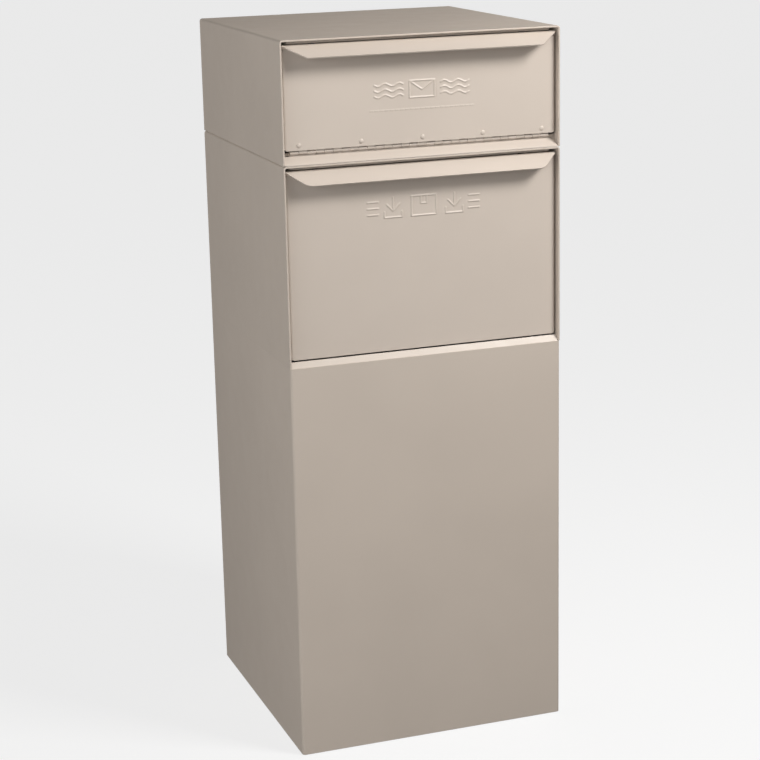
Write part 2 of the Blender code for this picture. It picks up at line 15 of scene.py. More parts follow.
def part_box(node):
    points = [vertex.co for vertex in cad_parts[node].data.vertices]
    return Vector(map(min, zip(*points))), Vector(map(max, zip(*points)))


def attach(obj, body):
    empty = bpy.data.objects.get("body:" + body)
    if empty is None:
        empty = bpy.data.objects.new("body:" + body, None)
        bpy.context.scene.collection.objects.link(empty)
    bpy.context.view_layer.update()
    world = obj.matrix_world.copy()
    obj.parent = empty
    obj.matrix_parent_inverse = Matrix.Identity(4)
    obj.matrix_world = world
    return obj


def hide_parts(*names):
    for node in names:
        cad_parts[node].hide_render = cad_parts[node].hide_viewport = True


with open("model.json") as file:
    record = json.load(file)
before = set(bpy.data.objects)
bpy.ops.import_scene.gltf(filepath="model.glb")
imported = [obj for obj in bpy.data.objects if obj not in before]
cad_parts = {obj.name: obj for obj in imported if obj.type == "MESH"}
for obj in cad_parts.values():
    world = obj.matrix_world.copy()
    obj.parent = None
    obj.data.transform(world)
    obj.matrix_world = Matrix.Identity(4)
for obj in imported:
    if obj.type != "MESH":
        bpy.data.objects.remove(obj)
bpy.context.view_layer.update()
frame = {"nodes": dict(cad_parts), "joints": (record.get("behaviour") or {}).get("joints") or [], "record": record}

# ---- places taken from the frame
LETTER_LOW, LETTER_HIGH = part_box("letter_box_shell")
PARCEL_LOW, PARCEL_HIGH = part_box("parcel_box_shell")
BASE_LOW, BASE_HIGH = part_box("base_shell")
HALF = LETTER_HIGH.x
FRONT = LETTER_LOW.y
DEPTH = LETTER_HIGH.y - FRONT
SHEET = 0.0025
GAP = 0.0003                 # kept between pieces that touch
WALL = HALF - SHEET
INSIDE = WALL - GAP
SHELL_FOLD = 0.0042          # outer radius of the casing's folds
JOINTS = {joint["name"]: joint for joint in frame["joints"]}

# ---- front doors
FACE = 0.008                 # depth of the door faces behind the casing's front edges
DOOR_SHEET = 0.002
DOOR_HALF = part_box("letter_door_panel")[1].x
DOOR_FOLD = 0.0035           # outer radius of the side folds
DOOR_FLANGE = 0.0085         # straight part of the side flanges
CORNER = 0.006               # radius of the doors' lower corners
LIP_LENGTH = 0.0308
LIP_FOLD = 0.0004            # inner radius where the lip leaves the face
RELIEF = 0.0045              # the side flanges stop this far below the lip's fold
RELIEF_CUT = 0.0008
LETTER_FOLD = 1.0343         # height at which the letter door's lip leaves its face
LETTER_LIP_ANGLE = radians(32)
LETTER_LIP_HALF = 0.173      # half the width of the lip's lower edge
PARCEL_FOLD = 0.8635
PARCEL_LIP_ANGLE = radians(39)
PARCEL_LIP_HALF = 0.1755
PARCEL_LIP_CORNER = 0.006    # radius of the parcel lip's lower corners

# ---- letter slot, as in the CAD floor
SLOT_HALF = 0.150
SLOT_FRONT = 0.330           # depths of its two long sides
SLOT_BACK = 0.385
SLOT_CUT = (0.84, 0.90)      # heights between which it is cut
SLOT_CORNER = 0.004

# ---- strips above the doors
RETURN_DEPTH = 0.0112
RETURN_DROP = 0.0038

# ---- studio
SURROUND = 30.0              # half the floor's width, and the surround's radius
SURROUND_GLOW = 0.80
FLOOR_GLOW = 0.80
CABINET_MIDDLE = (0, 0, 0.6)
LIGHTS = [
    # name, place, target, size, power, colour
    ("key", (1.15, -1.35, 2.10), (0, FRONT, 0.80), 0.7, 48.0, (1.0, 0.993, 0.985)),
    ("side_fill", (-3.1, -0.9, 1.35), CABINET_MIDDLE, 2.2, 50.0, (0.98, 0.99, 1.0)),
    ("front_fill", (-1.7, -3.0, 1.0), CABINET_MIDDLE, 2.2, 36.0, (0.98, 0.99, 1.0)),
    ("back_fill", (1.9, 3.0, 1.1), CABINET_MIDDLE, 2.2, 75.0, (1.0, 0.99, 0.98)),
    ("back_shine", (-0.35, 2.8, 1.4), CABINET_MIDDLE, 0.9, 20.0, (1.0, 0.99, 0.98)),
]
WORLD_LIGHT = 0.09
STAGE = bpy.data.collections.new("stage_surfaces")
METAL_PIECES = bpy.data.collections.new("metal_pieces")   # the only ones lit by back_shine

# ---- pressed marks
RIDGE = 0.0017               # half-width of a pressed line
RIDGE_HEIGHT = 0.0010
MARK_CELL = 0.0009
MARK_REACH = 0.022           # a mark presses no farther than this above or below its middle
DASH_RIDGE = 0.0013
DASH_RIDGE_HEIGHT = 0.0006
LETTER_MARK_HEIGHT = 0.9642  # heights of the marks' middles
DASH_HEIGHT = 0.9370
PARCEL_MARK_HEIGHT = 0.8010

# ---- hinges
BARREL = 0.0026
LEAF = 0.0012
KNUCKLE_GAP = 0.0004
PIN = 0.0012                 # radius
LETTER_KNUCKLES = 31
REAR_KNUCKLES = 33

# ---- small pieces
RIVETS = 5
JOINING_BOLTS = 4
BOLT_HEAD = 0.004            # height
LOCK_HOLE = 0.0098           # radius of the hole in the rear door

# ---- camera, fitted to the photo
CAMERA_PLACE = (-1.0089, -2.8449, 1.2960)
CAMERA_LENS = 96.72          # mm, on a sensor 36 mm wide
CAMERA_AZIMUTH = -19.47
CAMERA_ELEVATION = 14.77
CAMERA_ROLL = -1.26


def at(x, depth, z):
    """A place given as x, depth behind the front edges, and height."""
    return Vector((x, FRONT + depth, z))


def depth_of(y):
    """How far a world Y lies behind the front edges."""
    return y - FRONT


# ---------------------------------------------------------------- mesh helpers

def new_object(name, mesh, sharp=32):
    """Put a mesh in the scene, smooth but for the edges sharper than an angle."""
    mesh.shade_smooth()
    mesh.set_sharp_from_angle(angle=radians(sharp))
    made = bpy.data.objects.new(name, mesh)
    bpy.context.scene.collection.objects.link(made)
    return made


def mesh_from(name, work):
    """Turn a work mesh into a named mesh whose faces point outwards, and free it."""
    bmesh.ops.recalc_face_normals(work, faces=work.faces)
    mesh = bpy.data.meshes.new(name)
    work.to_mesh(mesh)
    work.free()
    return mesh


def round_edges(piece, width, segments=2, angle=50):
    """Soften the raw edges of a piece."""
    step = piece.modifiers.new("edges", "BEVEL")
    step.width = width
    step.segments = segments
    step.limit_method = "ANGLE"
    step.angle_limit = radians(angle)
    step.harden_normals = True
    step.use_clamp_overlap = True
    return piece


def cell_sheet(name, columns, rows, present, outer, inner):
    """A closed sheet made of cells: two faces, and a rim wherever a cell has no neighbour.

    outer and inner give a place on either face for a column value and a row value.
    """
    work = bmesh.new()
    corners = {}

    def corner(i, j, side):
        key = (i, j, side)
        if key not in corners:
            corners[key] = work.verts.new(side(columns[i], rows[j]))
        return corners[key]

    cells = {(i, j) for i in range(len(columns) - 1) for j in range(len(rows) - 1)
             if present((columns[i] + columns[i + 1]) / 2, (rows[j] + rows[j + 1]) / 2)}
    for i, j in cells:
        around = [(i, j), (i + 1, j), (i + 1, j + 1), (i, j + 1)]
        work.faces.new([corner(*spot, outer) for spot in around])
        work.faces.new([corner(*spot, inner) for spot in reversed(around)])
        beside = [(i, j - 1), (i + 1, j), (i, j + 1), (i - 1, j)]
        for start, end, neighbour in zip(around, around[1:] + around[:1], beside):
            if neighbour not in cells:
                work.faces.new([corner(*end, outer), corner(*start, outer),
                                corner(*start, inner), corner(*end, inner)])
    return new_object(name, mesh_from(name, work))


def rounded_line(line, radius, steps):
    """A line of 2D corners with each inner corner turned into an arc."""
    line = [Vector(point) for point in line]
    made = [line[0]]
    for before, corner, after in zip(line, line[1:], line[2:]):
        back, on = (before - corner).normalized(), (after - corner).normalized()
        half = back.angle(on) / 2
        centre = corner + (back + on).normalized() * (radius / sin(half))
        start = corner + back * (radius / tan(half)) - centre
        end = corner + on * (radius / tan(half)) - centre
        turn = atan2(start.x * end.y - start.y * end.x, start.dot(end))
        made += [centre + Matrix.Rotation(turn * i / steps, 2) @ start for i in range(steps + 1)]
    return made + [line[-1]]


def offset_line(line, distance):
    """The line's parallel on its left side."""
    made = []
    for i, point in enumerate(line):
        ahead = (line[min(i + 1, len(line) - 1)] - point)
        behind = (point - line[max(i - 1, 0)])
        normals = [Vector((-step.y, step.x)).normalized()
                   for step in (behind, ahead) if step.length > 0]
        mean = sum(normals, Vector((0, 0))).normalized()
        made.append(point + mean * (distance / mean.dot(normals[0])))
    return made


def folded_sheet(name, line, radius, thickness, span, place, steps=8):
    """Sheet folded along 2D corners and swept over a span. place(a, b, sweep) is in the frame.

    The line is the outer face, and the sheet lies on its left side.
    """
    outside = rounded_line(line, radius, steps)
    inside = offset_line(outside, thickness)
    return cell_sheet(name, range(len(outside)), span, lambda column, row: True,
                      lambda i, sweep: place(*outside[i], sweep),
                      lambda i, sweep: place(*inside[i], sweep))


def turned(name, profile, centre, axis, segments=40):
    """A solid of revolution about an axis: profile is (radius, height along the axis)."""
    work = bmesh.new()
    rings = []
    for radius, height in profile:
        count = segments if radius > 0 else 1
        rings.append([work.verts.new((radius * cos(2 * pi * k / segments),
                                      radius * sin(2 * pi * k / segments), height))
                      for k in range(count)])
    for low, high in zip(rings, rings[1:]):
        for k in range(segments):
            corners = [low[k % len(low)], low[(k + 1) % len(low)],
                       high[(k + 1) % len(high)], high[k % len(high)]]
            unique = list(dict.fromkeys(corners))
            if len(unique) > 2:
                work.faces.new(unique)
    turn = Vector((0, 0, 1)).rotation_difference(Vector(axis)).to_matrix().to_4x4()
    bmesh.ops.transform(work, matrix=Matrix.Translation(centre) @ turn, verts=work.verts)
    return new_object(name, mesh_from(name, work))


def refined(node_name, width):
    """The CAD node's own shape with its flat faces made whole and its edges softened."""
    work = bmesh.new()
    work.from_mesh(frame["nodes"][node_name].data)
    bmesh.ops.remove_doubles(work, verts=work.verts, dist=0.00001)
    bmesh.ops.dissolve_limit(work, angle_limit=radians(1), verts=work.verts, edges=work.edges)
    made = new_object(node_name + "_fine", mesh_from(node_name, work))
    return round_edges(made, width)


# ---------------------------------------------------------------- materials

def node(tree, kind, **inputs):
    """A shader node with values on its inputs, which are named with _ for a space."""
    made = tree.nodes.new(kind)
    for name, value in inputs.items():
        made.inputs[name.replace("_", " ")].default_value = value
    return made


def noise(tree, where, scale, detail=2.0, roughness=0.5):
    """A noise pattern's value at a place."""
    made = node(tree, "ShaderNodeTexNoise", Scale=scale, Detail=detail, Roughness=roughness)
    tree.links.new(where, made.inputs["Vector"])
    return made.outputs["Fac"]


def remap(tree, value, low, high, start=0.0, end=1.0):
    """Stretch the range from start to end onto the range from low to high."""
    made = node(tree, "ShaderNodeMapRange", From_Min=start, From_Max=end, To_Min=low, To_Max=high)
    tree.links.new(value, made.inputs["Value"])
    return made.outputs["Result"]


def mix(tree, share, first, second):
    """Two colours mixed by a share. Each is a colour or an output."""
    made = tree.nodes.new("ShaderNodeMix")
    made.data_type = "RGBA"
    tree.links.new(share, made.inputs["Factor"])
    for socket, value in ((made.inputs[6], first), (made.inputs[7], second)):
        if isinstance(value, tuple):
            socket.default_value = (*value, 1)
        else:
            tree.links.new(value, socket)
    return made.outputs[2]


def bump(tree, height, strength, distance, under=None):
    """A bumped normal, on top of another one if there is one under it."""
    made = node(tree, "ShaderNodeBump", Strength=strength, Distance=distance)
    tree.links.new(height, made.inputs["Height"])
    if under:
        tree.links.new(under, made.inputs["Normal"])
    return made.outputs["Normal"]


def start_material(name):
    """A new material, its tree, its shader and its object-space place."""
    made = bpy.data.materials.new(name)
    made.use_nodes = True
    tree = made.node_tree
    where = tree.nodes.new("ShaderNodeTexCoord").outputs["Object"]
    return made, tree, tree.nodes["Principled BSDF"], where


def edge_share(tree, radius):
    """How much a point lies on a convex edge, from the rounded normal around it."""
    rounded = node(tree, "ShaderNodeBevel", Radius=radius)
    rounded.samples = 4
    plain = tree.nodes.new("ShaderNodeNewGeometry")
    match = tree.nodes.new("ShaderNodeVectorMath")
    match.operation = "DOT_PRODUCT"
    tree.links.new(rounded.outputs["Normal"], match.inputs[0])
    tree.links.new(plain.outputs["Normal"], match.inputs[1])
    return remap(tree, match.outputs["Value"], 1.0, 0.0, 0.80, 0.99)


def powder_coat(name, colour, roughness=0.46, wear=0.35):
    """Baked powder paint: orange peel, faint clouding, and slightly thinner paint on edges."""
    made, tree, shader, where = start_material(name)
    deep = tuple(c * 0.975 for c in colour)
    pale = tuple(min(1, c * 1.02) for c in colour)
    worn = tuple(min(1, c * 1.10 + 0.02) for c in colour)
    cloud = noise(tree, where, 5.5, 3.0, 0.55)
    clouded = mix(tree, remap(tree, cloud, 0, 1, 0.3, 0.7), deep, pale)
    speck = noise(tree, where, 1900.0, 1.0)
    specked = mix(tree, remap(tree, speck, 0, 0.16, 0.62, 0.78), clouded,
                  tuple(c * 0.72 for c in colour))
    scuff = noise(tree, where, 60.0, 4.0, 0.7)
    edge = tree.nodes.new("ShaderNodeMath")
    edge.operation = "MULTIPLY"
    tree.links.new(edge_share(tree, 0.0012), edge.inputs[0])
    tree.links.new(remap(tree, scuff, wear * 0.4, wear, 0.35, 0.65), edge.inputs[1])
    tree.links.new(mix(tree, edge.outputs[0], specked, worn), shader.inputs["Base Color"])
    mottle = noise(tree, where, 28.0, 3.0, 0.6)
    tree.links.new(remap(tree, mottle, roughness - 0.05, roughness + 0.06, 0.3, 0.7),
                   shader.inputs["Roughness"])
    waves = bump(tree, noise(tree, where, 6.0, 1.0), 0.12, 0.0010)
    peel = bump(tree, noise(tree, where, 520.0, 2.0, 0.45), 0.22, 0.00012, waves)
    tree.links.new(peel, shader.inputs["Normal"])
    shader.inputs["Specular IOR Level"].default_value = 0.5
    shader.inputs["Coat Weight"].default_value = 0.05
    shader.inputs["Coat Roughness"].default_value = 0.30
    return made


def plated(name, colour, metallic, roughness, grain, contrast=0.12):
    """Bare or plated metal, with grain along X and small blotches."""
    made, tree, shader, where = start_material(name)
    stretch = tree.nodes.new("ShaderNodeMapping")
    stretch.inputs["Scale"].default_value = (0.04, 1.0, 1.0)
    tree.links.new(where, stretch.inputs["Vector"])
    lines = noise(tree, stretch.outputs["Vector"], grain, 3.0, 0.6)
    blotch = noise(tree, where, 90.0, 3.0, 0.6)
    dull = tuple(c * (1 - contrast) for c in colour)
    tree.links.new(mix(tree, remap(tree, blotch, 0, 1, 0.3, 0.7), dull, colour),
                   shader.inputs["Base Color"])
    tree.links.new(remap(tree, lines, roughness - 0.06, roughness + 0.10, 0.3, 0.7),
                   shader.inputs["Roughness"])
    tree.links.new(bump(tree, lines, 0.15, 0.00005), shader.inputs["Normal"])
    shader.inputs["Metallic"].default_value = metallic
    return made


def moulded(name, colour, roughness):
    """Rubber or moulded plastic with a fine stipple and a dusty bloom."""
    made, tree, shader, where = start_material(name)
    bloom = noise(tree, where, 140.0, 4.0, 0.6)
    tree.links.new(mix(tree, remap(tree, bloom, 0, 1, 0.4, 0.75), colour,
                       tuple(c * 1.6 + 0.012 for c in colour)), shader.inputs["Base Color"])
    tree.links.new(remap(tree, bloom, roughness - 0.06, roughness + 0.08, 0.3, 0.7),
                   shader.inputs["Roughness"])
    tree.links.new(bump(tree, noise(tree, where, 1500.0, 2.0), 0.3, 0.0001),
                   shader.inputs["Normal"])
    return made


PAINTS = {
    "casing_paint": powder_coat("casing_paint", (0.562, 0.485, 0.414)),
    "door_paint": powder_coat("door_paint", (0.580, 0.503, 0.434)),
    "inner_paint": powder_coat("inner_paint", (0.530, 0.455, 0.385), 0.50, 0.25),
    "zinc": plated("zinc", (0.50, 0.51, 0.51), 0.60, 0.42, 900.0, 0.22),
    "stainless": plated("stainless", (0.62, 0.61, 0.59), 0.80, 0.28, 1400.0),
    "lock_chrome": plated("lock_chrome", (0.78, 0.78, 0.79), 0.75, 0.22, 2600.0, 0.04),
    "rubber": moulded("rubber", (0.030, 0.029, 0.028), 0.78),
    "magnet": moulded("magnet", (0.085, 0.085, 0.088), 0.55),
}
METALS = ("zinc", "stainless", "lock_chrome")


def finish_piece(piece, body, slot, *nodes):
    """Give a piece its paint, its body and the CAD nodes that it stands for."""
    piece.data.materials.clear()
    piece.data.materials.append(PAINTS[slot])
    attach(piece, body)
    if nodes:
        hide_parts(*nodes)
    if slot in METALS:
        METAL_PIECES.objects.link(piece)
    return piece


# ---------------------------------------------------------------- casing

def casing_shells():
    """The three shells, folded from sheet. Returns the height where the lower two meet."""
    side = lambda x, z, y: Vector((x, y, z))
    span = (FRONT, FRONT + DEPTH)
    for name, node_name, low, high in (
            ("letter_casing", "letter_box_shell", LETTER_LOW, LETTER_HIGH),
            ("parcel_casing", "parcel_box_shell", PARCEL_LOW, PARCEL_HIGH)):
        line = [(-HALF, low.z), (-HALF, high.z), (HALF, high.z), (HALF, low.z)]
        shell = folded_sheet(name, line[::-1], SHELL_FOLD, SHEET, span, side)
        if name == "parcel_casing":
            cut_slot(shell)
        round_edges(shell, 0.0007, 3)
        finish_piece(shell, "casing", "casing_paint", node_name)
    joint = PARCEL_LOW.z
    plan = [(-HALF, DEPTH), (-HALF, 0), (HALF, 0), (HALF, DEPTH)]
    base = folded_sheet("lower_casing", plan, SHELL_FOLD, SHEET, (BASE_LOW.z, joint), at)
    round_edges(base, 0.0006, 3)
    finish_piece(base, "casing", "casing_paint", "base_shell")
    return joint


def cut_slot(shell):
    """The letter slot, cut through the parcel box's top where the CAD floor has it."""
    tool = bpy.data.objects.new("slot_tool", slot_tool_mesh())
    bpy.context.scene.collection.objects.link(tool)
    step = shell.modifiers.new("slot", "BOOLEAN")
    step.object = tool
    step.solver = "EXACT"
    apply_modifiers(shell)
    bpy.data.objects.remove(tool)


def slot_tool_mesh():
    """A block with rounded upright edges, as large as the letter slot."""
    work = bmesh.new()
    slot_low = at(-SLOT_HALF, SLOT_FRONT, SLOT_CUT[0])
    slot_high = at(SLOT_HALF, SLOT_BACK, SLOT_CUT[1])
    bmesh.ops.create_cube(work, size=1)
    bmesh.ops.scale(work, vec=slot_high - slot_low, verts=work.verts)
    bmesh.ops.translate(work, vec=(slot_low + slot_high) / 2, verts=work.verts)
    upright = [edge for edge in work.edges
               if abs((edge.verts[0].co - edge.verts[1].co).z) > SLOT_CORNER]
    bmesh.ops.bevel(work, geom=upright, offset=SLOT_CORNER, segments=4, affect="EDGES")
    return mesh_from("slot_tool", work)


def apply_modifiers(piece):
    """Bake a piece's modifiers into its mesh."""
    shape = piece.evaluated_get(bpy.context.evaluated_depsgraph_get())
    mesh = bpy.data.meshes.new_from_object(shape)
    piece.modifiers.clear()
    piece.data = mesh


def sills(joint):
    """The bright sloping strips under the two doors."""
    across = (-INSIDE, INSIDE)
    strip = lambda depth, z, x: at(x, depth, z)
    parcel_low, parcel_high = joint - 0.0006, BASE_HIGH.z + GAP
    slope = [(0.0004, parcel_low - 0.004), (0.0004, parcel_low), (0.0068, parcel_high)]
    parcel = folded_sheet("parcel_sill", slope[::-1], 0.0012, 0.0018, across, strip, 5)
    finish_piece(round_edges(parcel, 0.0004), "casing", "casing_paint", "base_shell")
    low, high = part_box("letter_sill")
    slope = [(0.0003, low.z + 0.0002), (0.0003, low.z + 0.0013), (depth_of(high.y), high.z)]
    letter = folded_sheet("letter_sill_strip", slope[::-1], 0.0009, 0.0016, across, strip, 5)
    finish_piece(round_edges(letter, 0.0004), "casing", "door_paint", "letter_sill")


def header_returns():
    """Folded strips in front of the two headers, which show in the gaps above the doors."""
    for name, header in (("letter_header_return", "letter_header"),
                         ("parcel_header_return", "parcel_header")):
        low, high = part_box(header)
        top, back = high.z, depth_of(low.y) - GAP
        line = [(back, top), (RETURN_DEPTH, top), (RETURN_DEPTH, top - RETURN_DROP)]
        strip = folded_sheet(name, line, 0.0016, 0.0012, (low.x, high.x),
                             lambda depth, z, x: at(x, depth, z), 5)
        finish_piece(round_edges(strip, 0.0003), "casing", "casing_paint")


def weld_seams(joint):
    """Ground and painted weld lines on the side walls, where the parcel box meets the base."""
    for side, sign in (("left", -1), ("right", 1)):
        steps = 240
        span = [0.004 + (DEPTH - 0.008) * i / steps for i in range(steps + 1)]
        rows = [-1.0, -0.5, 0.0, 0.5, 1.0]

        def outer(depth, row, sign=sign):
            wave = 0.5 + 0.25 * sin(depth * 610) + 0.25 * sin(depth * 1430 + 1)
            proud = 0.00022 * (1 - row * row) * (0.7 + 0.3 * wave)
            return at(sign * (HALF + proud), depth, joint + row * (0.0021 + 0.0004 * wave))

        seam = cell_sheet("weld_seam_" + side, span, rows, lambda depth, row: True, outer,
                          lambda depth, row, sign=sign: at(sign * (HALF - 0.0004), depth,
                                                           joint + row * 0.0021))
        finish_piece(seam, "casing", "casing_paint")


# ---------------------------------------------------------------- pressed marks

def polyline(*points):
    """The strokes that join points in turn."""
    return list(zip(points, points[1:]))


def letter_marks():
    """An envelope between wavy lines, and a dashed line below: strokes as pairs of points."""
    wide, tall = 0.0185, 0.0115
    marks = polyline((-wide, -tall), (wide, -tall), (wide, tall), (-wide, tall), (-wide, -tall))
    marks += polyline((-wide, tall), (0, -0.001), (wide, tall))
    for side in (-1, 1):
        for row in (-0.0078, 0, 0.0078):
            wave = [(side * (0.028 + 0.0042 * i), row + 0.0022 * sin(i * pi / 2.5))
                    for i in range(11)]
            marks += polyline(*wave)
    return marks


def dashes():
    """A row of 21 short level strokes."""
    middles = [-0.0744 + 0.00744 * i for i in range(21)]
    return [((x - 0.0024, 0), (x + 0.0024, 0)) for x in middles]


def parcel_marks():
    """A taped parcel with an arrow on either side that points down into a tray."""
    wide, tall = 0.0185, 0.0140
    marks = polyline((-wide, -tall), (wide, -tall), (wide, tall), (-wide, tall), (-wide, -tall))
    marks += polyline((-0.0045, tall), (-0.0045, 0.003), (0.0045, 0.003), (0.0045, tall))
    for side in (-1, 1):
        x = side * 0.046
        marks += polyline((x, tall), (x, -0.004))
        marks += polyline((x - 0.0095, 0.0045), (x, -0.005), (x + 0.0095, 0.0045))
        marks += polyline((x - 0.013, -0.006), (x - 0.013, -tall), (x + 0.013, -tall),
                          (x + 0.013, -0.006))
        for row in (-0.009, 0, 0.009):
            marks += polyline((side * 0.068, row), (side * 0.084, row))
    return marks


def mark_reach(marks, way):
    """The farthest that strokes reach from their middle, across (0) or up (1)."""
    return max(abs(end[way]) for stroke in marks for end in stroke)


def pressed(marks, x, z, ridge, height):
    """How far the sheet is pressed forward at a place, from its distance to the strokes."""
    nearest = ridge
    for (ax, az), (bx, bz) in marks:
        along_x, along_z = bx - ax, bz - az
        if min(ax, bx) - ridge > x or max(ax, bx) + ridge < x:
            continue
        share = ((x - ax) * along_x + (z - az) * along_z) / (along_x ** 2 + along_z ** 2)
        share = max(0, min(1, share))
        away = sqrt((x - ax - share * along_x) ** 2 + (z - az - share * along_z) ** 2)
        nearest = min(nearest, away)
    closeness = 1 - nearest / ridge
    return height * closeness * closeness * (3 - 2 * closeness)


# ---------------------------------------------------------------- doors

def spread(start, end, cell):
    """Values from start to end, about a cell apart, without the last one."""
    count = max(1, ceil(abs(end - start) / cell - 0.001))
    return [start + (end - start) * i / count for i in range(count)]


class DoorPan:
    """A front door's folded sheet: face, side flanges and flared lip.

    Columns are distances along the sheet from the middle, and rows along it from below.
    """

    def __init__(self, node_name, fold, angle, lip_half, lip_corner, marks):
        """marks holds (strokes, height of their middle, ridge half-width, ridge height)."""
        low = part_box(node_name)[0]
        self.bottom = low.z
        self.angle = angle
        self.lip_half = lip_half
        self.lip_corner = lip_corner
        self.marks = marks
        self.flat = DOOR_HALF - DOOR_FOLD
        self.outer_fold = LIP_FOLD + DOOR_SHEET
        self.centre_z = fold - (self.outer_fold + LIP_FOLD * sin(angle)) / cos(angle)
        self.turn = pi / 2 + angle
        end = Vector((FACE - LIP_FOLD, self.centre_z)) + self.outer_fold * self.radial(self.turn)
        tip = Vector((FACE, fold)) - LIP_LENGTH * Vector((cos(angle), sin(angle)))
        self.lip = (tip - end).length
        self.fold_row = self.centre_z - self.bottom
        self.lip_row = self.fold_row + self.turn * self.outer_fold
        self.relief_row = self.fold_row - RELIEF

    @staticmethod
    def radial(turn):
        """The direction at an angle about the lip's fold."""
        return Vector((cos(turn), sin(turn)))

    def section(self, column):
        """x, depth and outward direction on the outside of the face and its side flanges."""
        side, over = copysign(1, column), abs(column) - self.flat
        if over <= 0:
            return column, FACE, (0, -1)
        turn = over / DOOR_FOLD
        if turn < pi / 2:
            return (side * (self.flat + DOOR_FOLD * sin(turn)), FACE + DOOR_FOLD * (1 - cos(turn)),
                    (side * sin(turn), -cos(turn)))
        return side * DOOR_HALF, FACE + DOOR_FOLD + (turn - pi / 2) * DOOR_FOLD, (side, 0)

    def half_at(self, row):
        """Half-width of the sheet along the lip, which tapers and may have round corners."""
        along = max(0, row - self.lip_row)
        half = DOOR_HALF + (self.lip_half - DOOR_HALF) * along / self.lip
        if self.lip_corner and along > self.lip - self.lip_corner:
            into = (along - self.lip + self.lip_corner) / self.lip_corner
            half -= self.lip_corner * (1 - sqrt(max(0, 1 - into * into)))
        return half

    def mark(self, x, z):
        """How far the marks press the face forward at a place."""
        for marks, centre, ridge, height in self.marks:
            if abs(z - centre) < MARK_REACH:
                risen = pressed(marks, x, z - centre, ridge, height)
                if risen:
                    return risen
        return 0

    def place(self, column, row, inner):
        """A place on the sheet's outer face, or on its inner face where inner is 1."""
        if row <= self.relief_row + RELIEF_CUT / 2:
            x, depth, out = self.section(column)
            over = abs(column) - (self.flat + DOOR_FOLD - CORNER)
            lift = 0
            if over > 0:
                into = min(1, over / CORNER)
                lift = CORNER * (1 - sqrt(1 - into * into)) * max(0, 1 - row / (2.2 * CORNER))
            z = self.bottom + row + lift
            depth -= self.mark(x, z)
            shift = DOOR_SHEET * inner
            return at(x - out[0] * shift, depth - out[1] * shift, z)
        x = column * self.half_at(row) / DOOR_HALF
        thick = LIP_FOLD + DOOR_SHEET * inner
        if row <= self.fold_row:
            return at(x, FACE + DOOR_SHEET * inner, self.bottom + row)
        turn = min(self.turn, (row - self.fold_row) / self.outer_fold)
        spot = Vector((FACE - LIP_FOLD, self.centre_z)) + thick * self.radial(turn)
        spot += max(0, row - self.lip_row) * Vector((-sin(self.turn), cos(self.turn)))
        return at(x, spot.x, spot.y)

    def columns(self):
        """Distances across the sheet, close together over the marks and round the folds."""
        bend = DOOR_FOLD * pi / 2
        marked = max(mark_reach(mark[0], 0) for mark in self.marks) + 2 * RIDGE
        half = spread(marked, self.flat - 0.004, 0.03) + spread(self.flat - 0.004, self.flat, 0.001)
        half += spread(self.flat, self.flat + DOOR_FOLD, DOOR_FOLD / 4)
        half += spread(self.flat + DOOR_FOLD, self.flat + bend, DOOR_FOLD / 4)
        half += [self.flat + bend, self.flat + bend + DOOR_FLANGE / 2, self.flat + bend + DOOR_FLANGE]
        return [-c for c in reversed(half)] + spread(-marked, marked, MARK_CELL)[1:] + half

    def rows(self):
        """Distances up the sheet, close together at the corners, marks, fold and tip."""
        made = spread(0, 2.4 * CORNER, 0.0012)
        row = 2.4 * CORNER
        for marks, centre, ridge, _ in sorted(self.marks, key=lambda mark: mark[1]):
            reach = mark_reach(marks, 1) + ridge + 3 * MARK_CELL
            start = centre - reach - self.bottom
            made += spread(row, start, 0.02) + spread(start, start + 2 * reach, MARK_CELL)
            row = start + 2 * reach
        made += spread(row, self.relief_row, 0.02)
        made += [self.relief_row, self.relief_row + RELIEF_CUT]
        made += spread(self.relief_row + RELIEF_CUT, self.fold_row, 0.002)[1:]
        made += spread(self.fold_row, self.lip_row, 0.0006)
        tip = self.lip_row + self.lip
        made += spread(self.lip_row, tip - 0.0062, 0.008) + spread(tip - 0.0062, tip, 0.0006)
        return made + [tip]

    def present(self, column, row):
        """Whether there is sheet: the reliefs part the side flanges from the lip."""
        if row < self.relief_row:
            return True
        return abs(column) < (self.flat if row < self.relief_row + RELIEF_CUT else DOOR_HALF)

    def build(self, name):
        """The whole door pan as one piece."""
        pan = cell_sheet(name, self.columns(), self.rows(), self.present,
                         lambda column, row: self.place(column, row, 0),
                         lambda column, row: self.place(column, row, 1))
        return round_edges(pan, 0.0005, 2, 60)


def front_doors():
    """The letter door and the parcel door, with their pressed marks."""
    letter = DoorPan("letter_door_panel", LETTER_FOLD, LETTER_LIP_ANGLE, LETTER_LIP_HALF, 0,
                     [(letter_marks(), LETTER_MARK_HEIGHT, RIDGE, RIDGE_HEIGHT),
                      (dashes(), DASH_HEIGHT, DASH_RIDGE, DASH_RIDGE_HEIGHT)])
    finish_piece(letter.build("letter_door_pan"), "letter_door", "door_paint", "letter_door_panel")
    parcel = DoorPan("parcel_door_panel", PARCEL_FOLD, PARCEL_LIP_ANGLE, PARCEL_LIP_HALF,
                     PARCEL_LIP_CORNER,
                     [(parcel_marks(), PARCEL_MARK_HEIGHT, RIDGE, RIDGE_HEIGHT)])
    finish_piece(parcel.build("parcel_door_pan"), "hopper", "door_paint", "parcel_door_panel")


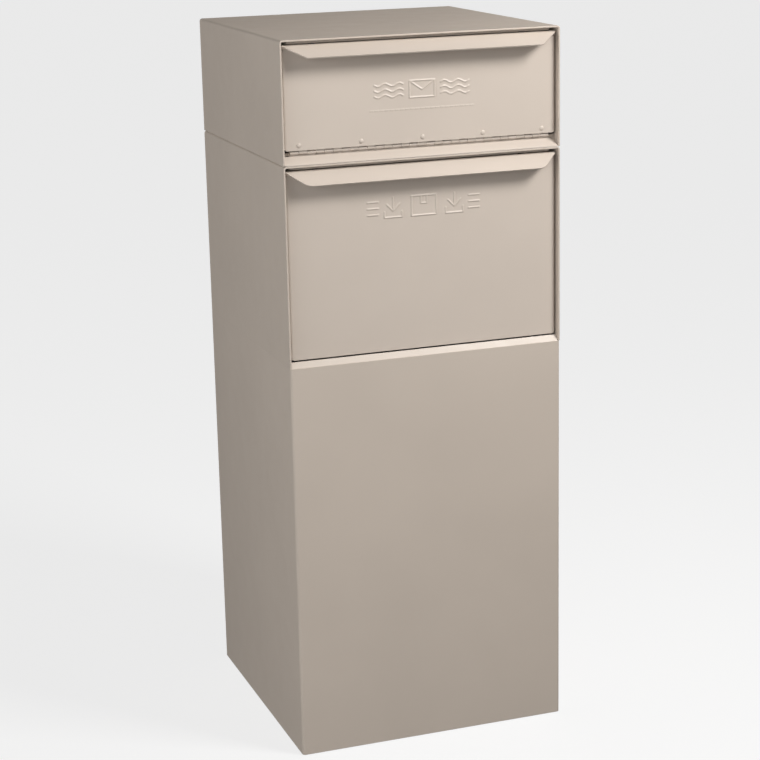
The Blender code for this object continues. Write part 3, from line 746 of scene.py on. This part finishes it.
def rivets():
    """Small domed rivets along the letter door's hinge, set by a press."""
    dome = [(0, 0.0015), (0.0011, 0.00142), (0.0020, 0.0012), (0.0028, 0.00082), (0.0033, 0.00042),
            (0.0034, 0.0001), (0.0034, 0.00002), (0.0016, 0.00002), (0.0016, -0.0042),
            (0.0028, -0.0042), (0.0027, -0.0050), (0.0015, -0.0053), (0, -0.0053)]
    for i in range(1, RIVETS + 1):
        low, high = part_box(f"letter_rivet_{i}")
        centre = Vector(((low.x + high.x) / 2, FRONT + FACE, (low.z + high.z) / 2))
        rivet = turned(f"letter_rivet_{i}_dome", dome, centre, (0, -1, 0), 28)
        finish_piece(rivet, "letter_door", "door_paint", f"letter_rivet_{i}")


# ---------------------------------------------------------------- hinges

def hinge_leaf(name, body, slot, node_name, length, knuckles, first, width, place):
    """A rolled leaf: flat strip whose own knuckles curl round the pin. place(run, out, up)."""
    pitch = length / knuckles
    columns = []
    for i in range(knuckles):
        columns += [i * pitch + KNUCKLE_GAP / 2, (i + 1) * pitch - KNUCKLE_GAP / 2]
    columns = [0] + columns[1:-1] + [length]
    steps = 18
    curl = 1.80 * pi
    rows = [-curl * i / steps for i in range(steps, 0, -1)]
    rows += [0, BARREL + 0.0008, BARREL + 0.0022, width]

    def point(column, row, radius):
        """A place on the flat strip, or round the pin where the row is below zero."""
        run = column - length / 2
        if row >= 0:
            return place(run, -radius, row)
        turn = pi - row
        return place(run, radius * cos(turn), radius * sin(turn))

    def present(column, row):
        """Every cell of the flat strip, and every second knuckle."""
        if row > BARREL + 0.0008:
            return True
        index = int(column / pitch)
        inside = abs(column - (index + 0.5) * pitch) < (pitch - KNUCKLE_GAP) / 2 + 0.00001
        return index % 2 == first and inside

    leaf = cell_sheet(name, columns, rows, present,
                      lambda column, row: point(column, row, BARREL),
                      lambda column, row: point(column, row, BARREL - LEAF))
    round_edges(leaf, 0.0002, 2, 60)
    return finish_piece(leaf, body, slot, node_name)


def letter_hinge():
    """The continuous hinge along the bottom of the letter door."""
    axis = Vector(JOINTS["letter_door_hinge"]["pos_m"])
    low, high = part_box("letter_hinge_pin")
    length = high.x - low.x
    fixed_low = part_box("letter_hinge_fixed_leaf")[0].z
    hinge_leaf("letter_hinge_fixed_knuckles", "casing", "door_paint", "letter_hinge_fixed_leaf",
               length, LETTER_KNUCKLES, 0, axis.z - fixed_low,
               lambda run, out, up: axis + Vector((run, -out, -up)))
    moving_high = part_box("letter_hinge_moving_leaf")[1].z
    hinge_leaf("letter_hinge_moving_knuckles", "letter_door", "door_paint",
               "letter_hinge_moving_leaf", length, LETTER_KNUCKLES, 1, moving_high - axis.z,
               lambda run, out, up: axis + Vector((run, out, up)))
    pin = turned("letter_hinge_rod", pin_profile(PIN, length), axis, (1, 0, 0), 20)
    finish_piece(pin, "casing", "stainless", "letter_hinge_pin")


def rear_hinge():
    """The continuous hinge up the rear right edge."""
    axis = Vector(JOINTS["rear_door_hinge"]["pos_m"])
    low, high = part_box("rear_hinge_pin")
    length = high.z - low.z
    width = axis.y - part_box("rear_hinge_fixed_leaf")[0].y
    hinge_leaf("rear_hinge_fixed_knuckles", "casing", "casing_paint", "rear_hinge_fixed_leaf",
               length, REAR_KNUCKLES, 0, width,
               lambda run, out, up: axis + Vector((-out, -up, run)))
    hinge_leaf("rear_hinge_moving_knuckles", "rear_door", "casing_paint",
               "rear_hinge_moving_leaf", length, REAR_KNUCKLES, 1, width,
               lambda run, out, up: axis + Vector((out, -up, run)))
    pin = turned("rear_hinge_rod", pin_profile(PIN, length), axis, (0, 0, 1), 20)
    finish_piece(pin, "casing", "stainless", "rear_hinge_pin")


def pin_profile(radius, length):
    """The outline of a rod with chamfered ends, about its middle."""
    end = length / 2
    return [(0, end), (radius * 0.7, end), (radius, end - 0.0004), (radius, 0.0004 - end),
            (radius * 0.7, -end), (0, -end)]


# ---------------------------------------------------------------- rear door and lock

def rear_door():
    """The rear door's pan, with the lock's hole, and the channel that stiffens it."""
    low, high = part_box("rear_door_panel")
    left, right = low.x, high.x
    face, inner = depth_of(high.y), depth_of(low.y)
    plan = [(right, inner), (right, face), (left, face), (left, inner)]
    panel = folded_sheet("rear_door_pan", plan, DOOR_FOLD, DOOR_SHEET, (low.z, high.z), at)
    drill(panel, lock_axis(), LOCK_HOLE, 0.03)
    finish_piece(round_edges(panel, 0.0007, 3), "rear_door", "casing_paint", "rear_door_panel")
    low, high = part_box("rear_door_stiffener")
    face, inner = depth_of(high.y), depth_of(low.y)
    plan = [(high.x, inner), (high.x, face), (low.x, face), (low.x, inner)]
    channel = folded_sheet("rear_door_channel", plan, DOOR_FOLD, DOOR_SHEET, (low.z, high.z),
                           at)
    finish_piece(round_edges(channel, 0.0005), "rear_door", "inner_paint", "rear_door_stiffener")


def lock_axis():
    """The middle of the lock, on the outside of the rear door."""
    return Vector(JOINTS["lock_turn"]["pos_m"])


def drill(piece, centre, radius, length):
    """A round hole through a piece along Y."""
    tool = turned("drill_tool", [(0, length / 2), (radius, length / 2), (radius, -length / 2),
                                 (0, -length / 2)], centre, (0, 1, 0), 48)
    step = piece.modifiers.new("hole", "BOOLEAN")
    step.object = tool
    step.solver = "EXACT"
    apply_modifiers(piece)
    bpy.data.objects.remove(tool)


def lock():
    """The lock's polished collar and body, and its plug with a keyway."""
    centre = lock_axis()
    body = turned("lock_collar", [
        (0.0063, 0.0026), (0.0066, 0.0030), (0.0098, 0.0030), (0.0108, 0.0027), (0.0116, 0.0021),
        (0.0120, 0.0013), (0.0120, 0.0003), (0.0095, 0.0003), (0.0095, -0.0222), (0.0063, -0.0222),
        (0.0063, 0.0026)], centre, (0, 1, 0), 64)
    finish_piece(body, "rear_door", "lock_chrome", "lock_body")
    plug = turned("lock_barrel", [
        (0, 0.0031), (0.0044, 0.0031), (0.0052, 0.0029), (0.0058, 0.0023), (0.0060, 0.0016),
        (0.0060, -0.0227), (0.0030, -0.0227), (0.0030, -0.0255), (0, -0.0255)],
        centre, (0, 1, 0), 48)
    cut_keyway(plug, centre)
    finish_piece(plug, "lock_plug_and_cam", "lock_chrome", "lock_plug")


def cut_keyway(plug, centre):
    """A slot for the key, with a small ward on one side."""
    work = bmesh.new()
    for wide, tall, x in ((0.0011, 0.0070, 0), (0.0012, 0.0016, 0.0008)):
        made = bmesh.ops.create_cube(work, size=1)["verts"]
        bmesh.ops.scale(work, vec=(wide, 0.014, tall), verts=made)
        bmesh.ops.translate(work, vec=centre + Vector((x, 0.003, 0)), verts=made)
    tool = new_object("keyway_tool", mesh_from("keyway_tool", work))
    step = plug.modifiers.new("keyway", "BOOLEAN")
    step.object = tool
    step.solver = "EXACT"
    step.use_self = True
    apply_modifiers(plug)
    bpy.data.objects.remove(tool)


# ---------------------------------------------------------------- small and inner pieces

def plain_pieces():
    """Flat strips, plates and blocks keep their CAD shape and get softened edges."""
    sheets = {
        "casing": ["letter_box_floor", "letter_box_back", "letter_hinge_riser", "letter_header",
                   "parcel_header", "hopper_baffle", "base_floor", "hopper_bracket_left",
                   "hopper_bracket_right", "rear_jamb_left", "rear_jamb_right",
                   "rear_frame_header", "rear_frame_foot", "letter_magnet"],
        "letter_door": ["letter_catch_strike"],
        "hopper": ["hopper_cheek_left", "hopper_cheek_right", "hopper_chute"],
        "rear_door": ["lock_nut"],
        "lock_plug_and_cam": ["lock_cam"],
    }
    slots = {part["node"]: part["material_slot"] for part in frame["record"]["subparts"]}
    for body, nodes in sheets.items():
        for name in nodes:
            finish_piece(refined(name, 0.0005), body, slots[name], name)


def joining_bolts():
    """The four bolts between the boxes, and their nuts."""
    for i in range(1, JOINING_BOLTS + 1):
        low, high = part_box(f"joining_bolt_{i}")
        centre = Vector(((low.x + high.x) / 2, (low.y + high.y) / 2, high.z - BOLT_HEAD))
        bolt = turned(f"joining_bolt_{i}_fine", [
            (0, 0.0040), (0.0030, 0.0038), (0.0056, 0.0031), (0.0076, 0.0020), (0.0086, 0.0006),
            (0.0086, 0), (0.0040, 0), (0.0040, -0.0155), (0.0036, -0.0160), (0, -0.0160)],
            centre, (0, 0, 1), 36)
        finish_piece(bolt, "casing", "stainless", f"joining_bolt_{i}")
        nut = refined(f"joining_nut_{i}", 0.0006)
        finish_piece(nut, "casing", "stainless", f"joining_nut_{i}")


def bumpers():
    """The rubber bumpers that the two front doors close against."""
    for name in ("letter_bumper_left", "letter_bumper_right", "parcel_bumper_left",
                 "parcel_bumper_right"):
        low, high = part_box(name)
        centre = Vector(((low.x + high.x) / 2, high.y, (low.z + high.z) / 2))
        length = high.y - low.y
        bumper = turned(name + "_fine", [
            (0, length), (0.0026, length), (0.0036, length - 0.0003), (0.0045, length - 0.0012),
            (0.0050, length - 0.0026), (0.0050, 0.0004), (0.0047, 0), (0, 0)],
            centre, (0, -1, 0), 32)
        finish_piece(bumper, "casing", "rubber", name)


def hopper_rod():
    """The rod that the hopper turns on."""
    low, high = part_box("hopper_rod")
    rod = turned("hopper_rod_fine", pin_profile((high.z - low.z) / 2, high.x - low.x),
                 (low + high) / 2, (1, 0, 0), 28)
    finish_piece(rod, "hopper", "stainless", "hopper_rod")


def cam_screw():
    """The domed screw that holds the cam on the lock's plug."""
    low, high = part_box("lock_cam_screw")
    centre = Vector(((low.x + high.x) / 2, high.y, (low.z + high.z) / 2))
    screw = turned("lock_cam_screw_fine", [
        (0, 0.0014), (0.0012, 0.0014), (0.0014, 0.0022), (0.0030, 0.0021), (0.0042, 0.0016),
        (0.0045, 0.0009), (0.0045, 0), (0, 0)], centre, (0, -1, 0), 32)
    finish_piece(screw, "lock_plug_and_cam", "zinc", "lock_cam_screw")


# ---------------------------------------------------------------- stage

def studio_floor():
    """A pale matt floor."""
    work = bmesh.new()
    bmesh.ops.create_grid(work, x_segments=8, y_segments=8, size=SURROUND)
    floor = new_object("studio_floor", mesh_from("studio_floor", work))
    floor.location.z = -0.0006
    paint, tree, shader, where = start_material("studio_floor_paint")
    shade = noise(tree, where, 1.5, 4.0)
    tree.links.new(mix(tree, shade, (0.155, 0.155, 0.154), (0.165, 0.165, 0.164)),
                   shader.inputs["Base Color"])
    shader.inputs["Roughness"].default_value = 0.9
    glow(shader, FLOOR_GLOW)
    show_only(floor, paint)


def studio_surround():
    """A surround that is bright to the eye only, so the object keeps its shaded sides."""
    work = bmesh.new()
    bmesh.ops.create_uvsphere(work, u_segments=48, v_segments=24, radius=SURROUND)
    bmesh.ops.reverse_faces(work, faces=work.faces)
    dome = bpy.data.meshes.new("studio_surround")
    work.to_mesh(dome)
    work.free()
    paint, tree, shader, where = start_material("studio_surround_paint")
    shader.inputs["Base Color"].default_value = (0, 0, 0, 1)
    glow(shader, SURROUND_GLOW)
    show_only(new_object("studio_surround", dome), paint)


def studio_lights():
    """A key light in front on the right, three fills, and a shine for metal pieces only."""
    for light in LIGHTS:
        lamp = soft_light(*light)
        lamp.visible_glossy = light[0] in ("key", "back_shine")
        if light[0] == "back_shine":
            lamp.light_linking.receiver_collection = METAL_PIECES
        elif light[0] != "key":
            leave_stage_dark(lamp)


def studio_world():
    """A weak even light from all round, and the plain view transform."""
    world = bpy.data.worlds.new("studio")
    bpy.context.scene.world = world
    world.use_nodes = True
    background = world.node_tree.nodes["Background"]
    background.inputs["Color"].default_value = (1, 1, 1, 1)
    background.inputs["Strength"].default_value = WORLD_LIGHT
    bpy.context.scene.view_settings.view_transform = "Standard"


def glow(shader, strength):
    """Make a surface shine white."""
    shader.inputs["Emission Color"].default_value = (1, 1, 1, 1)
    shader.inputs["Emission Strength"].default_value = strength


def show_only(surface, paint):
    """Make a stage surface that is seen, but throws no light and no shadow on the object."""
    surface.data.materials.append(paint)
    surface.visible_diffuse = False
    surface.visible_glossy = False
    surface.visible_shadow = False
    STAGE.objects.link(surface)


def leave_stage_dark(lamp):
    """Keep a fill light off the floor."""
    lamp.light_linking.receiver_collection = STAGE
    for surface in STAGE.collection_objects:
        surface.light_linking.link_state = "EXCLUDE"


def soft_light(name, place, target, size, power, colour):
    """A square area light aimed at a target."""
    lamp = bpy.data.lights.new(name, "AREA")
    lamp.size = size
    lamp.energy = power
    lamp.color = colour
    made = bpy.data.objects.new(name, lamp)
    bpy.context.scene.collection.objects.link(made)
    made.location = place
    made.rotation_euler = (Vector(target) - Vector(place)).to_track_quat("-Z", "Y").to_euler()
    return made


def camera():
    """A long lens, well in front on the left and a little above the top."""
    lens = bpy.data.cameras.new("camera")
    lens.lens = CAMERA_LENS
    lens.sensor_width = 36
    made = bpy.data.objects.new("camera", lens)
    bpy.context.scene.collection.objects.link(made)
    made.matrix_world = (Matrix.Translation(CAMERA_PLACE)
                         @ Matrix.Rotation(radians(CAMERA_AZIMUTH), 4, "Z")
                         @ Matrix.Rotation(radians(90 - CAMERA_ELEVATION), 4, "X")
                         @ Matrix.Rotation(radians(CAMERA_ROLL), 4, "Z"))
    bpy.context.scene.camera = made


camera()
studio_floor()
studio_surround()
studio_lights()
studio_world()
joint_height = casing_shells()
sills(joint_height)
header_returns()
weld_seams(joint_height)
front_doors()
rivets()
letter_hinge()
rear_hinge()
rear_door()
lock()
plain_pieces()
joining_bolts()
bumpers()
hopper_rod()
cam_screw()
